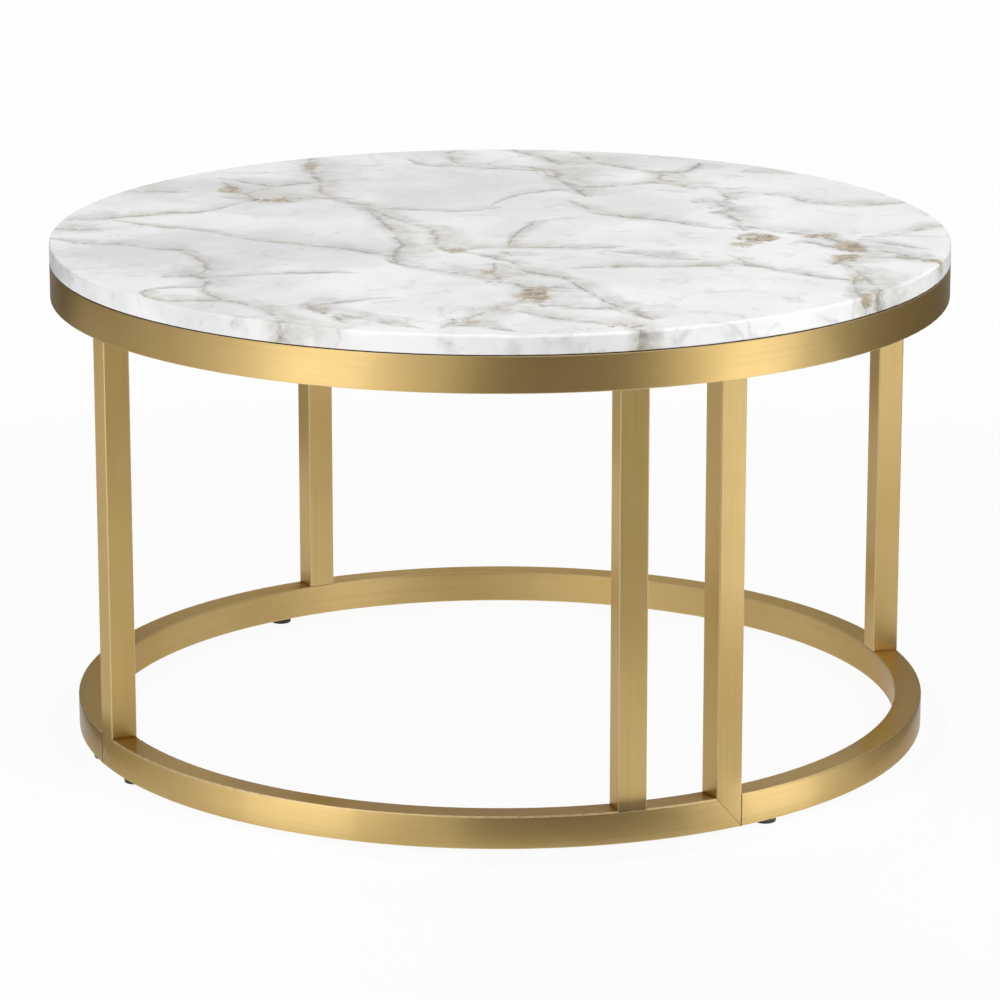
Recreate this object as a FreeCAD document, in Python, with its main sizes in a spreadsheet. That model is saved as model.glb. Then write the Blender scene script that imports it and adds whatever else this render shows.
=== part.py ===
import FreeCAD, Part
import math
import os

import Sketcher
from FreeCAD import Placement, Rotation, Vector

# A round cocktail table: a marble slab on a brass band, five tube legs and a base ring of bent tube.
# Millimetres, +Z up, the floor at z = 0 and the table's axis at x = y = 0. The front is -Y.
# Plan angles are degrees from the front, positive towards +X.

doc = FreeCAD.newDocument("CocktailTable")

# Driving dimensions
SIZES = [
    ("overall_height", 514, "floor to the top of the slab"),
    ("top_diameter", 914, "marble slab and band"),
    ("stone_thick", 19, "marble slab"),
    ("stone_round", 2.5, "eased top edge of the slab"),
    ("stone_under_round", 0.8, "eased lower edge of the slab"),
    ("shadow_gap", 1, "between the slab and the band"),
    ("band_height", 36, "brass band"),
    ("band_thick", 6, "brass band"),
    ("band_round", 0.8, "edges of the band"),
    ("board_thick", 12, "backer board"),
    ("board_inset", 9, "edge of the board inside the edge of the slab"),
    ("support_thick", 5, "support ring"),
    ("support_width", 46, "support ring"),
    ("weld_gap", 0.2, "between the support ring and the band"),
    ("base_inset", 19.5, "outside of the base ring inside the edge of the slab"),
    ("ring_height", 33, "base ring tube"),
    ("tube_depth", 27, "ring and leg tubes, from outside to inside"),
    ("leg_width", 29, "leg tubes, along the ring"),
    ("tube_wall", 2, "ring and leg tubes"),
    ("tube_round", 1.5, "corners of the tubes"),
    ("mitre_land", 1.7, "square end of each mitre, at the leg's far side"),
    ("left_angle", -64.6, "left leg"),
    ("rear_angle", -151.1, "rear leg"),
    ("inner_angle", 16.85, "inner leg of the front pair"),
    ("corner_angle", 30.45, "corner leg of the front pair"),
    ("right_angle", 106.6, "right leg"),
    ("glide_left_front_step", 5.2, "from the left leg to the glide in front of it"),
    ("glide_left_rear_step", -6.6, "from the left leg to the glide behind it"),
    ("glide_front_step", 7.1, "from the corner leg to its glide"),
    ("glide_rear_step", 6.3, "from the rear leg to its glide"),
    ("glide_right_step", -14.6, "from the right leg to its glide"),
    ("pad_diameter", 22, "glide pad"),
    ("pad_height", 5.2, "glide pad"),
    ("pad_round", 1.2, "edges of the glide pad"),
    ("pad_gap", 0.3, "between the glide pad and the ring"),
    ("pad_sole", 1.2, "glide pad under the stud's collar"),
    ("key_hole_diameter", 7, "hole in the sole for the key"),
    ("stud_diameter", 8, "glide stud"),
    ("stud_length", 20, "glide stud above its pad"),
    ("stud_chamfer", 1, "tip of the stud"),
    ("collar_diameter", 13, "collar of the stud, held in the pad"),
    ("collar_thick", 2.2, "collar of the stud"),
    ("stud_socket_flats", 4, "hexagon socket in the stud"),
    ("stud_socket_depth", 5, "hexagon socket in the stud"),
    ("turn_clearance", 0.2, "around the collar and the stud in the pad"),
    ("thread_clearance", 0.1, "around each threaded shank"),
    ("wall_clearance", 0.5, "around the stud in the ring's wall"),
    ("nut_flats", 13, "glide nut"),
    ("nut_height", 6.5, "glide nut"),
    ("screw_count", 8, "top screws"),
    ("screw_diameter", 6, "top screws"),
    ("screw_length", 14, "top screws under the head"),
    ("screw_clearance", 0.3, "around the screws in the support ring and washers"),
    ("head_diameter", 10.5, "screw head"),
    ("head_height", 3.3, "screw head"),
    ("head_round", 1.5, "screw head"),
    ("head_socket_flats", 4, "hexagon socket in the screw head"),
    ("head_socket_depth", 2, "hexagon socket in the screw head"),
    ("washer_diameter", 12.5, "washers"),
    ("washer_thick", 1.2, "washers"),
    ("insert_diameter", 9, "threaded inserts in the board"),
    ("insert_length", 10, "threaded inserts in the board"),
    ("glue_gap", 0.1, "around the inserts in the board"),
]

sheet = doc.addObject("Spreadsheet::Sheet", "Sizes")
for row, (alias, value, meaning) in enumerate(SIZES, start=1):
    sheet.set(f"A{row}", meaning)
    sheet.set(f"B{row}", str(value))
    sheet.setAlias(f"B{row}", alias)
doc.recompute()

# Heights and radii that follow from the driving dimensions
STONE_BOTTOM = "(Sizes.overall_height - Sizes.stone_thick)"
BAND_TOP = f"({STONE_BOTTOM} - Sizes.shadow_gap)"
BAND_BOTTOM = f"({BAND_TOP} - Sizes.band_height)"
BOARD_BOTTOM = f"({STONE_BOTTOM} - Sizes.board_thick)"
SUPPORT_BOTTOM = f"({BOARD_BOTTOM} - Sizes.support_thick)"
RING_BOTTOM = "(Sizes.pad_height + Sizes.pad_gap)"
RING_TOP = f"({RING_BOTTOM} + Sizes.ring_height)"
TOP_RADIUS = "(Sizes.top_diameter / 2)"
BAND_INNER = f"({TOP_RADIUS} - Sizes.band_thick)"
SUPPORT_OUTER = f"({BAND_INNER} - Sizes.weld_gap)"
SUPPORT_INNER = f"({SUPPORT_OUTER} - Sizes.support_width)"
SCREW_CIRCLE = f"({SUPPORT_OUTER} - Sizes.support_width / 2)"
RING_OUTER = f"({TOP_RADIUS} - Sizes.base_inset)"
RING_INNER = f"({RING_OUTER} - Sizes.tube_depth)"
RING_MIDDLE = f"({RING_OUTER} - Sizes.tube_depth / 2)"
HALF_LEG = "(Sizes.leg_width / 2)"

# The corners of a leg's flat outer face lie on the ring's round outer face
LEG_OUTER = f"sqrt({RING_OUTER} ^ 2 - {HALF_LEG} ^ 2)"
LEG_INNER = f"({LEG_OUTER} - Sizes.tube_depth)"

# The front arc lies between the left leg and the corner leg, and the rear arc fills the rest of the circle
FRONT_SPAN = "(Sizes.corner_angle - Sizes.left_angle)"
FRONT_MIDDLE = "((Sizes.corner_angle + Sizes.left_angle) / 2)"
REAR_MIDDLE = f"({FRONT_MIDDLE} + 180)"
LEG_SWING = f"(2 * atan(Sizes.leg_width / {RING_INNER}) / 1 deg)"

GLIDES = {
    "left_front": "(Sizes.left_angle + Sizes.glide_left_front_step)",
    "left_rear": "(Sizes.left_angle + Sizes.glide_left_rear_step)",
    "front": "(Sizes.corner_angle + Sizes.glide_front_step)",
    "right": "(Sizes.right_angle + Sizes.glide_right_step)",
    "rear": "(Sizes.rear_angle + Sizes.glide_rear_step)",
}
FRONT_ARC_GLIDES = ["left_front"]
REAR_ARC_GLIDES = ["left_rear", "front", "right", "rear"]

parts = []


def bind(sketch, constraint, expression):
    """Adds a constraint whose value follows an expression."""
    index = sketch.addConstraint(constraint)
    sketch.setExpression(f"Constraints[{index}]", expression)


def new_body(label):
    """A sub-part made with sketches and features."""
    body = doc.addObject("PartDesign::Body", label)
    body.Label = label
    parts.append(body)
    return body


def origin_item(body, role):
    return next(item for item in body.Origin.OriginFeatures if item.Role == role)


def new_sketch(body, name, role="XY_Plane", height="0"):
    """A sketch on one of the body's own planes, raised by a height."""
    sketch = body.newObject("Sketcher::SketchObject", f"{body.Name}_{name}")
    sketch.AttachmentSupport = [(origin_item(body, role), "")]
    sketch.MapMode = "FlatFace"
    sketch.setExpression("AttachmentOffset.Base.z", height)
    return sketch


def draw_outline(sketch, corners):
    """A closed outline of straight lines, each corner held at an x and a y."""
    count = len(corners)
    first = sketch.GeometryCount
    start = [Vector(math.cos(math.tau * i / count), math.sin(math.tau * i / count), 0) for i in range(count)]
    for i in range(count):
        sketch.addGeometry(Part.LineSegment(start[i], start[(i + 1) % count]), False)
    for i in range(count):
        following = first + (i + 1) % count
        sketch.addConstraint(Sketcher.Constraint("Coincident", first + i, 2, following, 1))
    for i, (across, up) in enumerate(corners):
        bind(sketch, Sketcher.Constraint("DistanceX", -1, 1, first + i, 1, start[i].x), across)
        bind(sketch, Sketcher.Constraint("DistanceY", -1, 1, first + i, 1, start[i].y), up)


def draw_box(sketch, left, right, low, high):
    draw_outline(sketch, [(left, low), (right, low), (right, high), (left, high)])


def draw_circle(sketch, radius, across="0", up="0"):
    circle = sketch.addGeometry(Part.Circle(Vector(1, 1, 0), Vector(0, 0, 1), 1), False)
    bind(sketch, Sketcher.Constraint("DistanceX", -1, 1, circle, 3, 1), across)
    bind(sketch, Sketcher.Constraint("DistanceY", -1, 1, circle, 3, 1), up)
    bind(sketch, Sketcher.Constraint("Radius", circle, 1), radius)


def draw_hexagon(sketch, flats, across="0", up="0"):
    """A regular hexagon measured across its flats."""
    corners = []
    for i in range(6):
        turn = 60 * i
        reach = f"{flats} / 2 / cos(30)"
        corners.append((f"{across} + {reach} * cos({turn})", f"{up} + {reach} * sin({turn})"))
    draw_outline(sketch, corners)


def pad(sketch, length):
    feature = sketch.getParentGeoFeatureGroup().newObject("PartDesign::Pad", sketch.Name + "_pad")
    feature.Profile = sketch
    feature.setExpression("Length", length)
    return feature


def pocket(sketch, length, upwards=False, symmetric=False):
    """Cuts a sketch away, downwards unless told otherwise, and checks that it removed something."""
    body = sketch.getParentGeoFeatureGroup()
    doc.recompute()
    before = body.Shape.Volume
    feature = body.newObject("PartDesign::Pocket", sketch.Name + "_cut")
    feature.Profile = sketch
    feature.Reversed = upwards
    if symmetric:
        feature.SideType = "Symmetric"
    feature.setExpression("Length", length)
    doc.recompute()
    if body.Shape.Volume >= before:
        raise RuntimeError(f"{feature.Name} cuts nothing")
    return feature


def revolve(sketch, angle="360", symmetric=False):
    """Turns a sketch about its upright axis, which is the body's Z."""
    body = sketch.getParentGeoFeatureGroup()
    feature = body.newObject("PartDesign::Revolution", sketch.Name + "_turned")
    feature.Profile = sketch
    feature.ReferenceAxis = (sketch, ["V_Axis"])
    feature.Midplane = symmetric
    feature.setExpression("Angle", angle)
    return feature


def fillet(body, radius, wanted):
    """Rounds the edges of the body's last feature that a test picks out."""
    doc.recompute()
    base = body.Tip
    names = [f"Edge{i}" for i, edge in enumerate(base.Shape.Edges, start=1) if wanted(edge)]
    feature = body.newObject("PartDesign::Fillet", base.Name + "_rounded")
    feature.Base = (base, names)
    feature.setExpression("Radius", radius)
    return feature


def spread(body, features, count):
    """Repeats features evenly about the body's Z."""
    pattern = body.newObject("PartDesign::PolarPattern", body.Name + "_spread")
    pattern.Originals = features
    pattern.Axis = (origin_item(body, "Z_Axis"), [""])
    pattern.Angle = 360
    pattern.setExpression("Occurrences", count)
    body.Tip = pattern


def mirror(body, feature):
    """Repeats a feature on the other side of the body's YZ plane."""
    mirrored = body.newObject("PartDesign::Mirrored", feature.Name + "_mirrored")
    mirrored.Originals = [feature]
    mirrored.MirrorPlane = (origin_item(body, "YZ_Plane"), [""])
    body.Tip = mirrored


def turn_to(item, angle):
    """Turns a piece modelled at the front of the table to its plan angle."""
    item.Placement = Placement(Vector(), Rotation(Vector(0, 0, 1), 1))
    item.setExpression("Placement.Rotation.Angle", angle)


def stand_at(item, angle, height="0"):
    """Moves a piece modelled on the Z axis to a plan angle on the middle of the ring."""
    item.setExpression("Placement.Base.x", f"{RING_MIDDLE} * sin({angle})")
    item.setExpression("Placement.Base.y", f"-{RING_MIDDLE} * cos({angle})")
    item.setExpression("Placement.Base.z", height)


def is_round(edge):
    return isinstance(edge.Curve, Part.Circle)


# Top


def make_marble_top():
    body = new_body("marble_top")
    sketch = new_sketch(body, "plan", height=STONE_BOTTOM)
    draw_circle(sketch, TOP_RADIUS)
    pad(sketch, "Sizes.stone_thick")
    doc.recompute()
    top = body.Shape.BoundBox.ZMax
    fillet(body, "Sizes.stone_round", lambda e: is_round(e) and abs(e.CenterOfMass.z - top) < 0.01)
    doc.recompute()
    bottom = body.Shape.BoundBox.ZMin
    fillet(body, "Sizes.stone_under_round", lambda e: is_round(e) and abs(e.CenterOfMass.z - bottom) < 0.01)


def make_top_band():
    body = new_body("top_band")
    sketch = new_sketch(body, "plan", height=BAND_BOTTOM)
    draw_circle(sketch, TOP_RADIUS)
    draw_circle(sketch, BAND_INNER)
    pad(sketch, "Sizes.band_height")
    fillet(body, "Sizes.band_round", is_round)


def make_support_ring():
    body = new_body("support_ring")
    sketch = new_sketch(body, "plan", height=SUPPORT_BOTTOM)
    draw_circle(sketch, SUPPORT_OUTER)
    draw_circle(sketch, SUPPORT_INNER)
    pad(sketch, "Sizes.support_thick")
    holes = new_sketch(body, "hole", height=SUPPORT_BOTTOM)
    draw_circle(holes, "Sizes.screw_diameter / 2 + Sizes.screw_clearance", up=f"-{SCREW_CIRCLE}")
    spread(body, [pocket(holes, "Sizes.support_thick", upwards=True)], "Sizes.screw_count")


def make_backer_board():
    body = new_body("backer_board")
    sketch = new_sketch(body, "plan", height=BOARD_BOTTOM)
    draw_circle(sketch, f"{TOP_RADIUS} - Sizes.board_inset")
    pad(sketch, "Sizes.board_thick")
    holes = new_sketch(body, "hole", height=BOARD_BOTTOM)
    draw_circle(holes, "Sizes.insert_diameter / 2 + Sizes.glue_gap", up=f"-{SCREW_CIRCLE}")
    depth = "Sizes.insert_length + Sizes.glue_gap"
    spread(body, [pocket(holes, depth, upwards=True)], "Sizes.screw_count")


def make_top_inserts():
    body = new_body("top_inserts")
    sketch = new_sketch(body, "plan", height=BOARD_BOTTOM)
    draw_circle(sketch, "Sizes.insert_diameter / 2", up=f"-{SCREW_CIRCLE}")
    draw_circle(sketch, "Sizes.screw_diameter / 2 + Sizes.thread_clearance", up=f"-{SCREW_CIRCLE}")
    spread(body, [pad(sketch, "Sizes.insert_length")], "Sizes.screw_count")


def make_top_washers():
    body = new_body("top_washers")
    sketch = new_sketch(body, "plan", height=f"{SUPPORT_BOTTOM} - Sizes.washer_thick")
    draw_circle(sketch, "Sizes.washer_diameter / 2", up=f"-{SCREW_CIRCLE}")
    draw_circle(sketch, "Sizes.screw_diameter / 2 + Sizes.screw_clearance", up=f"-{SCREW_CIRCLE}")
    spread(body, [pad(sketch, "Sizes.washer_thick")], "Sizes.screw_count")


def make_top_screws():
    """Button-head screws that come up through the washers and the support ring into the inserts."""
    body = new_body("top_screws")
    seat = f"({SUPPORT_BOTTOM} - Sizes.washer_thick)"
    head = new_sketch(body, "head", height=f"{seat} - Sizes.head_height")
    draw_circle(head, "Sizes.head_diameter / 2", up=f"-{SCREW_CIRCLE}")
    head_pad = pad(head, "Sizes.head_height")
    doc.recompute()
    bottom = body.Shape.BoundBox.ZMin
    rounded = fillet(body, "Sizes.head_round", lambda e: is_round(e) and abs(e.CenterOfMass.z - bottom) < 0.01)
    shank = new_sketch(body, "shank", height=seat)
    draw_circle(shank, "Sizes.screw_diameter / 2", up=f"-{SCREW_CIRCLE}")
    shank_pad = pad(shank, "Sizes.screw_length")
    socket = new_sketch(body, "socket", height=f"{seat} - Sizes.head_height")
    draw_hexagon(socket, "Sizes.head_socket_flats", up=f"-{SCREW_CIRCLE}")
    socket_cut = pocket(socket, "Sizes.head_socket_depth", upwards=True)
    spread(body, [head_pad, rounded, shank_pad, socket_cut], "Sizes.screw_count")


# Base


def draw_tube(sketch, left, right, low, high):
    """A rectangular tube's section: its outside and, a wall further in, its inside."""
    wall = "Sizes.tube_wall"
    draw_box(sketch, left, right, low, high)
    draw_box(sketch, f"{left} + {wall}", f"{right} - {wall}", f"{low} + {wall}", f"{high} - {wall}")


def make_leg(label, angle, bottom, mitre_side=0):
    """A leg at the front of the table, turned to its angle. mitre_side is the side that meets the front arc."""
    body = new_body(label)
    sketch = new_sketch(body, "section", height=bottom)
    draw_tube(sketch, f"-{HALF_LEG}", HALF_LEG, f"-{LEG_OUTER}", f"-{LEG_INNER}")
    pad(sketch, f"{SUPPORT_BOTTOM} - {bottom}")
    doc.recompute()
    box = body.Shape.BoundBox

    def outer_corner(edge):
        middle = edge.CenterOfMass
        on_side = min(abs(middle.x - box.XMin), abs(middle.x - box.XMax)) < 0.01
        on_face = min(abs(middle.y - box.YMin), abs(middle.y - box.YMax)) < 0.01
        return on_side and on_face

    fillet(body, "Sizes.tube_round", outer_corner)
    if mitre_side:
        cut = new_sketch(body, "mitre", "XZ_Plane")
        high, low, below = mitre_line(mitre_side)
        draw_outline(cut, [high, (high[0], below), (low[0], below), low])
        pocket(cut, "2 * Sizes.top_diameter", symmetric=True)
    turn_to(body, angle)


def mitre_line(side):
    """The slanting cut seen along a leg's depth: its high end, run on past the leg, its low end, which stops
    short of the leg's far side, and a height below the ring."""
    land_rise = "Sizes.mitre_land * Sizes.ring_height / Sizes.leg_width"
    high = (f"{side} * Sizes.leg_width", f"{RING_TOP} + Sizes.ring_height / 2")
    low = (f"{-side} * ({HALF_LEG} - Sizes.mitre_land)", f"{RING_BOTTOM} + {land_rise}")
    below = f"{RING_BOTTOM} - Sizes.ring_height / 2"
    return high, low, below


def make_arc(label, span, middle):
    """A length of bent tube whose middle is at the front of the table, turned to its angle."""
    body = new_body(label)
    sketch = new_sketch(body, "section", "YZ_Plane")
    draw_tube(sketch, f"-{RING_OUTER}", f"-{RING_INNER}", RING_BOTTOM, RING_TOP)
    revolve(sketch, span, symmetric=True)
    doc.recompute()
    box = body.Shape.BoundBox
    radii = [e.Curve.Radius for e in body.Shape.Edges if is_round(e)]

    def outer_corner(edge):
        if not is_round(edge):
            return False
        on_level = min(abs(edge.CenterOfMass.z - box.ZMin), abs(edge.CenterOfMass.z - box.ZMax)) < 0.01
        on_face = min(abs(edge.Curve.Radius - min(radii)), abs(edge.Curve.Radius - max(radii))) < 0.01
        return on_level and on_face

    fillet(body, "Sizes.tube_round", outer_corner)
    turn_to(body, middle)
    return body


def turned_sketch(body, name, angle):
    """An upright sketch across the ring, turned about Z from the front."""
    sketch = new_sketch(body, name, "XZ_Plane")
    sketch.AttachmentOffset = Placement(Vector(), Rotation(Vector(0, 1, 0), 1))
    sketch.setExpression("AttachmentOffset.Rotation.Angle", angle)
    return sketch


def cut_glide_holes(body, names, middle):
    """Round holes through the arc's lower wall, for the studs of its glides."""
    for name in names:
        turn = f"({GLIDES[name]} - {middle})"
        hole = new_sketch(body, f"{name}_hole", height=RING_BOTTOM)
        radius = "Sizes.stud_diameter / 2 + Sizes.wall_clearance"
        draw_circle(hole, radius, f"{RING_MIDDLE} * sin({turn})", f"-{RING_MIDDLE} * cos({turn})")
        pocket(hole, "Sizes.tube_wall", upwards=True)


def make_front_arc():
    body = make_arc("front_ring_arc", f"{FRONT_SPAN} + {LEG_SWING}", FRONT_MIDDLE)
    cut = turned_sketch(body, "mitre", f"{FRONT_SPAN} / 2")
    high, low, below = mitre_line(-1)
    far_x = "2 * Sizes.leg_width"
    draw_outline(cut, [high, low, (low[0], below), (far_x, below), (far_x, high[1])])
    mirror(body, pocket(cut, "2 * Sizes.top_diameter", symmetric=True))
    cut_glide_holes(body, FRONT_ARC_GLIDES, FRONT_MIDDLE)


def make_rear_arc():
    body = make_arc("rear_ring_arc", f"360 - {FRONT_SPAN}", REAR_MIDDLE)
    cut = turned_sketch(body, "butt", f"180 - {FRONT_SPAN} / 2")
    margin = "Sizes.tube_depth"
    draw_box(cut, f"-{HALF_LEG}", HALF_LEG, f"{RING_BOTTOM} - {margin}", f"{RING_TOP} + {margin}")
    mirror(body, pocket(cut, "Sizes.top_diameter", upwards=True))
    cut_glide_holes(body, REAR_ARC_GLIDES, REAR_MIDDLE)


# Glides


def make_glide_pad(name):
    """A round black pad with a hollow for the stud's collar and a hole in the sole for the key."""
    body = new_body(f"glide_pad_{name}")
    hollow_low = "Sizes.pad_sole"
    hollow_high = "(Sizes.pad_sole + Sizes.collar_thick + 2 * Sizes.turn_clearance)"
    hollow = "(Sizes.collar_diameter / 2 + Sizes.turn_clearance)"
    neck = "(Sizes.stud_diameter / 2 + Sizes.turn_clearance)"
    outside = "Sizes.pad_diameter / 2"
    sole_hole = "Sizes.key_hole_diameter / 2"
    sketch = new_sketch(body, "section", "XZ_Plane")
    draw_outline(
        sketch,
        [
            (sole_hole, "0"),
            (outside, "0"),
            (outside, "Sizes.pad_height"),
            (neck, "Sizes.pad_height"),
            (neck, hollow_high),
            (hollow, hollow_high),
            (hollow, hollow_low),
            (sole_hole, hollow_low),
        ],
    )
    revolve(sketch)
    doc.recompute()
    radius = max(e.Curve.Radius for e in body.Shape.Edges if is_round(e))
    fillet(body, "Sizes.pad_round", lambda e: is_round(e) and abs(e.Curve.Radius - radius) < 0.01)
    stand_at(body, GLIDES[name])


def make_glide_stud(name):
    """A threaded stud with a collar that turns in the pad, and a hexagon socket in its lower end."""
    body = new_body(f"glide_stud_{name}")
    collar_low = "(Sizes.pad_sole + Sizes.turn_clearance)"
    collar_high = f"({collar_low} + Sizes.collar_thick)"
    tip = "(Sizes.pad_height + Sizes.stud_length)"
    shank = "Sizes.stud_diameter / 2"
    sketch = new_sketch(body, "section", "XZ_Plane")
    draw_outline(
        sketch,
        [
            ("0", collar_low),
            ("Sizes.collar_diameter / 2", collar_low),
            ("Sizes.collar_diameter / 2", collar_high),
            (shank, collar_high),
            (shank, f"{tip} - Sizes.stud_chamfer"),
            (f"{shank} - Sizes.stud_chamfer", tip),
            ("0", tip),
        ],
    )
    revolve(sketch)
    socket = new_sketch(body, "socket", height=collar_low)
    draw_hexagon(socket, "Sizes.stud_socket_flats")
    pocket(socket, "Sizes.stud_socket_depth", upwards=True)
    stand_at(body, GLIDES[name])


def make_glide_nuts():
    """A hexagon nut for each glide, welded inside the ring's lower wall."""
    nuts = []
    for name, angle in GLIDES.items():
        block = doc.addObject("Part::Prism", f"nut_block_{name}")
        block.Polygon = 6
        block.setExpression("Circumradius", "Sizes.nut_flats / 2 / cos(30)")
        block.setExpression("Height", "Sizes.nut_height")
        thread = doc.addObject("Part::Cylinder", f"nut_thread_{name}")
        thread.setExpression("Radius", "Sizes.stud_diameter / 2 + Sizes.thread_clearance")
        thread.setExpression("Height", "Sizes.nut_height")
        nut = doc.addObject("Part::Cut", f"nut_{name}")
        nut.Base = block
        nut.Tool = thread
        stand_at(nut, angle, f"{RING_BOTTOM} + Sizes.tube_wall")
        nuts.append(nut)
    group = doc.addObject("Part::Compound", "glide_nuts")
    group.Links = nuts
    parts.append(group)


def check_and_write():
    """Stops at any failed object or shape, then writes one file for each sub-part."""
    doc.recompute()
    failed = [item.Name for item in doc.Objects if "Invalid" in item.State or "Error" in item.State]
    if failed:
        raise RuntimeError(f"failed objects: {failed}")
    for item in parts:
        if item.Shape.isNull() or not item.Shape.isValid():
            raise RuntimeError(f"{item.Label} has no valid shape")
    os.makedirs("parts", exist_ok=True)
    for item in parts:
        item.Shape.exportStep(f"parts/{item.Label}.step")
        print(item.Label, len(item.Shape.Solids), "solids", round(item.Shape.Volume / 1000, 2), "cm3")


make_marble_top()
make_backer_board()
make_top_band()
make_support_ring()
make_top_inserts()
make_top_washers()
make_top_screws()
make_leg("leg_left", "Sizes.left_angle", RING_BOTTOM, mitre_side=1)
make_leg("leg_front_corner", "Sizes.corner_angle", RING_BOTTOM, mitre_side=-1)
make_leg("leg_front_inner", "Sizes.inner_angle", RING_TOP)
make_leg("leg_right", "Sizes.right_angle", RING_TOP)
make_leg("leg_rear", "Sizes.rear_angle", RING_TOP)
make_front_arc()
make_rear_arc()
make_glide_nuts()
for glide in GLIDES:
    make_glide_pad(glide)
    make_glide_stud(glide)
check_and_write()
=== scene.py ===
import math

import bpy
from mathutils import Euler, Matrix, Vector


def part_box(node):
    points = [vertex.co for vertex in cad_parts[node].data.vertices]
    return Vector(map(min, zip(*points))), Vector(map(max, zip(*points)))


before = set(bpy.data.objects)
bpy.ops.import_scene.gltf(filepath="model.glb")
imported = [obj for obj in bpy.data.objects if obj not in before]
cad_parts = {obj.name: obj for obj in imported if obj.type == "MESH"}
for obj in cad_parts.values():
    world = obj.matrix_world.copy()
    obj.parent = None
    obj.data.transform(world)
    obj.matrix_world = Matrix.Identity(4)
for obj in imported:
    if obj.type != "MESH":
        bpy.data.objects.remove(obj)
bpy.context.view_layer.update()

# A round cocktail table on a pale floor. Metres, +Z up, the front is -Y.

MM = 0.001

# Camera: it stands in front of the table and looks down a little
CAMERA_PLACE = (0.0, -4.6978, 1.4976)
CAMERA_DOWN = 15.06
CAMERA_LENS = 169.67
CAMERA_SENSOR = 36.0
CAMERA_FAR = 100.0

# Corners of the boxes of two nodes, taken from the frame
MARBLE_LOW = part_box("marble_top")[0]
RING_LOW, RING_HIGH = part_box("rear_ring_arc")


# Node helpers


def add(tree, kind, inputs=None, **settings):
    """Adds a node, with its settings, and fills its inputs with values or with links to sockets."""
    node = tree.nodes.new(kind)
    for name, value in settings.items():
        setattr(node, name, value)
    for key, value in (inputs or {}).items():
        if isinstance(value, bpy.types.NodeSocket):
            tree.links.new(value, node.inputs[key])
        else:
            node.inputs[key].default_value = value
    return node


def math_node(tree, operation, first, second=0.0):
    return add(tree, "ShaderNodeMath", {0: first, 1: second}, operation=operation).outputs[0]


def vector_math(tree, operation, first, second=(0.0, 0.0, 0.0)):
    return add(tree, "ShaderNodeVectorMath", {0: first, 1: second}, operation=operation).outputs["Vector"]


def dot(tree, first, second):
    node = add(tree, "ShaderNodeVectorMath", {0: first, 1: second}, operation="DOT_PRODUCT")
    return node.outputs["Value"]


def length(tree, vector):
    return add(tree, "ShaderNodeVectorMath", {0: vector}, operation="LENGTH").outputs["Value"]


def scaled(tree, vector, size):
    node = add(tree, "ShaderNodeVectorMath", {0: vector, "Scale": size}, operation="SCALE")
    return node.outputs["Vector"]


def remap(tree, value, low, high, to_low=0.0, to_high=1.0, smooth=False):
    """A value moved from one range to another and held inside it."""
    kind = "SMOOTHSTEP" if smooth else "LINEAR"
    inputs = {"Value": value, "From Min": low, "From Max": high, "To Min": to_low, "To Max": to_high}
    return add(tree, "ShaderNodeMapRange", inputs, interpolation_type=kind).outputs["Result"]


def mixed(tree, share, first, second):
    """Two colours mixed by a share."""
    node = add(tree, "ShaderNodeMix", data_type="RGBA")
    for socket, value in ((node.inputs["Factor"], share), (node.inputs[6], first), (node.inputs[7], second)):
        if isinstance(value, bpy.types.NodeSocket):
            tree.links.new(value, socket)
        else:
            socket.default_value = value
    return node.outputs[2]


def noise(tree, vector, scale, detail=2.0, roughness=0.5):
    inputs = {"Vector": vector, "Scale": scale, "Detail": detail, "Roughness": roughness}
    return add(tree, "ShaderNodeTexNoise", inputs)


def curve(tree, value, points):
    """A smooth curve through points, read at a value from 0 to 1."""
    node = add(tree, "ShaderNodeFloatCurve", {"Value": value})
    node.mapping.use_clip = False
    line = node.mapping.curves[0]
    line.points[0].location = points[0]
    line.points[1].location = points[-1]
    for place, height in points[1:-1]:
        line.points.new(place, height)
    node.mapping.update()
    return node.outputs["Value"]


def place_in(tree):
    """The point on the piece, in metres in the table's frame, as a vector and as x, y and z."""
    vector = add(tree, "ShaderNodeTexCoord").outputs["Object"]
    split = add(tree, "ShaderNodeSeparateXYZ", {0: vector}).outputs
    return vector, split[0], split[1], split[2]


def joined(tree, x, y, z):
    return add(tree, "ShaderNodeCombineXYZ", {0: x, 1: y, 2: z}).outputs[0]


def bump(tree, height, distance, strength=1.0):
    inputs = {"Height": height, "Distance": distance, "Strength": strength}
    return add(tree, "ShaderNodeBump", inputs).outputs[0]


def new_material(name):
    material = bpy.data.materials.new(name)
    material.use_nodes = True
    tree = material.node_tree
    return material, tree, tree.nodes["Principled BSDF"]


def set_inputs(tree, shader, values):
    for name, value in values.items():
        if isinstance(value, bpy.types.NodeSocket):
            tree.links.new(value, shader.inputs[name])
        else:
            shader.inputs[name].default_value = value


# Brass

BRASS_PALE = (0.57, 0.40, 0.155, 1.0)
BRASS_DEEP = (0.53, 0.365, 0.13, 1.0)
BRASS_STREAK = (0.44, 0.29, 0.085, 1.0)
BRASS_ARRIS_HIGHLIGHT = (0.95, 0.80, 0.48, 1.0)
BRASS_SHADE_AND_SEAM = (0.26, 0.13, 0.03, 1.0)
BRASS_EDGE_TINT = (0.55, 0.44, 0.27, 1.0)
BRASS_ROUGHNESS = (0.34, 0.43)
BRASS_ANISOTROPY = 0.85
LACQUER = {"Coat Weight": 0.4, "Coat Roughness": 0.18, "Coat IOR": 1.55}

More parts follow.
